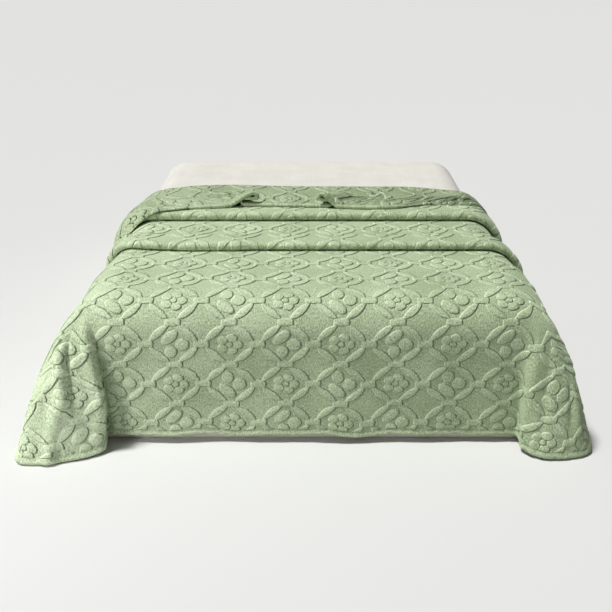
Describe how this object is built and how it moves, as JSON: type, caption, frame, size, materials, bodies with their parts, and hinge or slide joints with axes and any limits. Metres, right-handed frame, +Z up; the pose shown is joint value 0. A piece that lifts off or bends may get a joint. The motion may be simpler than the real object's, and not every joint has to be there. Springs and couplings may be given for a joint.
{
  "type": "flannel blanket draped on a plain bed with mattress and base",
  "caption": "Plush flannel blanket draped over the foot of a plain bed: it hangs over three edges, stands out in cones at the foot corners, and is pleated and turned back across the top.",
  "frame": {"origin": "on the floor, under the middle of the bed base", "axes": "+X the bed's right seen from the foot, +Y from foot to head, +Z up"},
  "size_m": [1.854, 2.0554, 0.5983],
  "materials": {
    "plush_fleece": "deep soft pile with carved relief, sage green",
    "mattress_cover": "plain off-white knitted cover",
    "base_cover": "plain pale woven upholstery"
  },
  "bodies": {
    "root": {"blanket": "plush_fleece", "mattress": "mattress_cover", "bed_base": "base_cover"}
  },
  "joints": []
}
